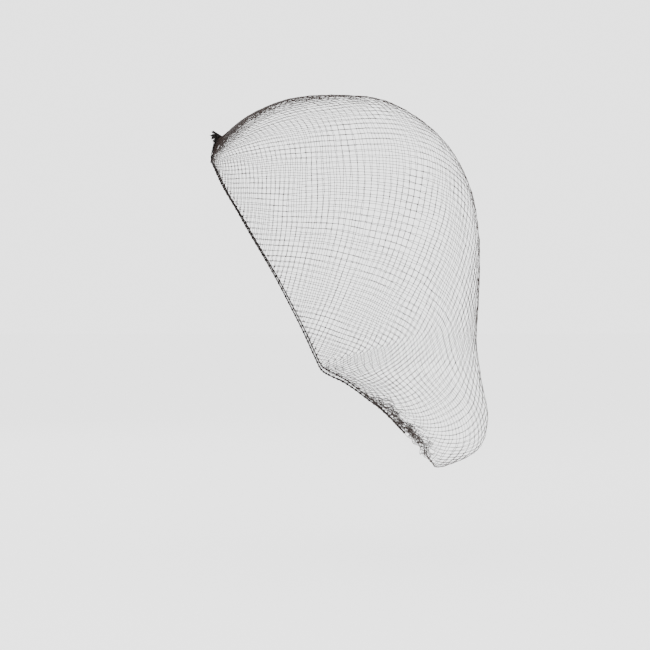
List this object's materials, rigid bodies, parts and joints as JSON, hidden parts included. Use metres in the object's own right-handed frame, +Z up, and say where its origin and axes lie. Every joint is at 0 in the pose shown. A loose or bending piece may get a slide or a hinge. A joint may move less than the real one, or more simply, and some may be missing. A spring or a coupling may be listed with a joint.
{
  "type": "hairnet",
  "caption": "Fine knotted hairnet in its worn form, with an elastic edge, a drawn seam and thread tuft at the forehead, and a pouch over a low bun.",
  "frame": {"origin": "inside of the net at the top of the crown, on the centre line, where it sits on the head", "axes": "+Z up, -Y towards the forehead, +X towards the wearer's left ear"},
  "size_m": [0.1636, 0.2006, 0.2684],
  "materials": {
    "netting": "fine dark brown nylon strand, slight sheen",
    "elastic_thread": "covered elastic thread, matt",
    "sewing_thread": "bunched thread, matt"
  },
  "bodies": {
    "root": {"net_bag": "netting", "edge_elastic": "elastic_thread", "seam_gather": "sewing_thread", "thread_tuft": "sewing_thread"}
  },
  "joints": []
}
